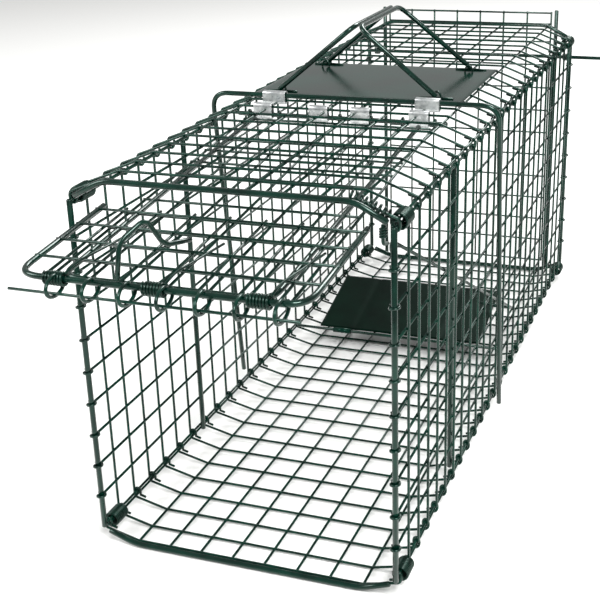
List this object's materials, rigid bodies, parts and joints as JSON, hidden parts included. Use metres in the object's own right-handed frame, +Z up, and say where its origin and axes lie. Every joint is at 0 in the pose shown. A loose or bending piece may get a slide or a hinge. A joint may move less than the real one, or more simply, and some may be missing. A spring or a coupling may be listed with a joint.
{
  "type": "live catch trap",
  "caption": "Welded wire cage trap with a set sloping door, sprung lock flap, treadle, sliding rear door, stay bail and folding handle.",
  "frame": {"origin": "middle of the underside of the front floor bar", "axes": "+Y from the open front to the rear door, +Z up, +X to the right seen from the front"},
  "size_m": [0.3038, 0.7851, 0.3456],
  "materials": {
    "green_wire": "glossy",
    "green_sheet": "glossy",
    "zinc_clip": "satin",
    "spring_steel": "satin"
  },
  "bodies": {
    "cage": {"back_lower_left_coil": "spring_steel", "back_lower_right_coil": "spring_steel", "back_post_left": "green_wire", "back_post_right": "green_wire", "back_upper_left_coil": "spring_steel", "back_upper_right_coil": "spring_steel", "bail_clip_left": "zinc_clip", "bail_clip_right": "zinc_clip", "door_clip_1": "zinc_clip", "door_clip_2": "zinc_clip", "door_clip_3": "zinc_clip", "door_clip_4": "zinc_clip", "door_hinge_rod": "green_wire", "floor_back_bar": "green_wire", "floor_front_bar": "green_wire", "floor_panel": "green_wire", "front_lower_left_coil": "spring_steel", "front_lower_right_coil": "spring_steel", "front_post_left": "green_wire", "front_post_right": "green_wire", "front_upper_left_coil": "spring_steel", "front_upper_right_coil": "spring_steel", "handle_plate": "green_sheet", "left_side_panel": "green_wire", "lock_eye_left": "green_wire", "lock_eye_right": "green_wire", "mid_post_left": "green_wire", "mid_post_right": "green_wire", "rear_guide_left": "green_wire", "rear_guide_right": "green_wire", "right_side_panel": "green_wire", "roof_back_bar": "green_wire", "roof_front_bar": "green_wire", "roof_panel": "green_wire", "treadle_rod": "green_wire", "trigger_hook": "green_wire"},
    "front_door": {"front_door": "green_wire", "door_edge_wire": "green_wire"},
    "lock_flap": {"lock_flap": "green_wire", "flap_spring_1": "spring_steel", "flap_spring_2": "spring_steel", "flap_spring_3": "spring_steel"},
    "stay_bail": {"stay_bail": "green_wire"},
    "left_handle": {"left_handle": "green_wire"},
    "right_handle": {"right_handle": "green_wire"},
    "treadle": {"treadle_plate": "green_sheet"},
    "trigger_rod": {"trigger_rod": "green_wire"},
    "rear_door": {"rear_door": "green_wire"},
    "rear_lock_rod": {"rear_lock_rod": "green_wire"}
  },
  "joints": [
    {"name": "front_door_swing", "type": "hinge", "parent": "cage", "child": "front_door", "pos_m": [0, 0.2286, 0.2782], "axis": [1, 0, 0], "range_deg": [0, 47]},
    {"name": "lock_flap_swing", "type": "hinge", "parent": "front_door", "child": "lock_flap", "pos_m": [0, -0.09858, 0.25449], "axis": [1, 0, 0], "range_deg": [0, 39]},
    {"name": "stay_bail_swing", "type": "hinge", "parent": "cage", "child": "stay_bail", "pos_m": [0, 0.254, 0.2885], "axis": [1, 0, 0], "range_deg": [-95, 0]},
    {"name": "left_handle_fold", "type": "hinge", "parent": "cage", "child": "left_handle", "pos_m": [-0.0686, 0.33, 0.2905], "axis": [0, -1, 0], "range_deg": [0, 125]},
    {"name": "right_handle_fold", "type": "hinge", "parent": "cage", "child": "right_handle", "pos_m": [0.0686, 0.33, 0.2905], "axis": [0, 1, 0], "range_deg": [0, 125]},
    {"name": "treadle_tilt", "type": "hinge", "parent": "cage", "child": "treadle", "pos_m": [0, 0.386, 0.02], "axis": [1, 0, 0], "range_deg": [-12, 0]},
    {"name": "trigger_rod_slide", "type": "slide", "parent": "cage", "child": "trigger_rod", "axis": [0, 0.8936, -0.449], "range_m": [0, 0.006]},
    {"name": "rear_door_lift", "type": "slide", "parent": "cage", "child": "rear_door", "axis": [0, 0, 1], "range_m": [0, 0.23]},
    {"name": "rear_lock_rod_slide", "type": "slide", "parent": "cage", "child": "rear_lock_rod", "axis": [1, 0, 0], "range_m": [0, 0.2]}
  ],
  "couplings": [
    {"joint": "lock_flap_swing", "follows": "front_door_swing", "ratio": 0.8085},
    {"joint": "trigger_rod_slide", "follows": "treadle_tilt", "m_per_rad": -0.02387}
  ]
}
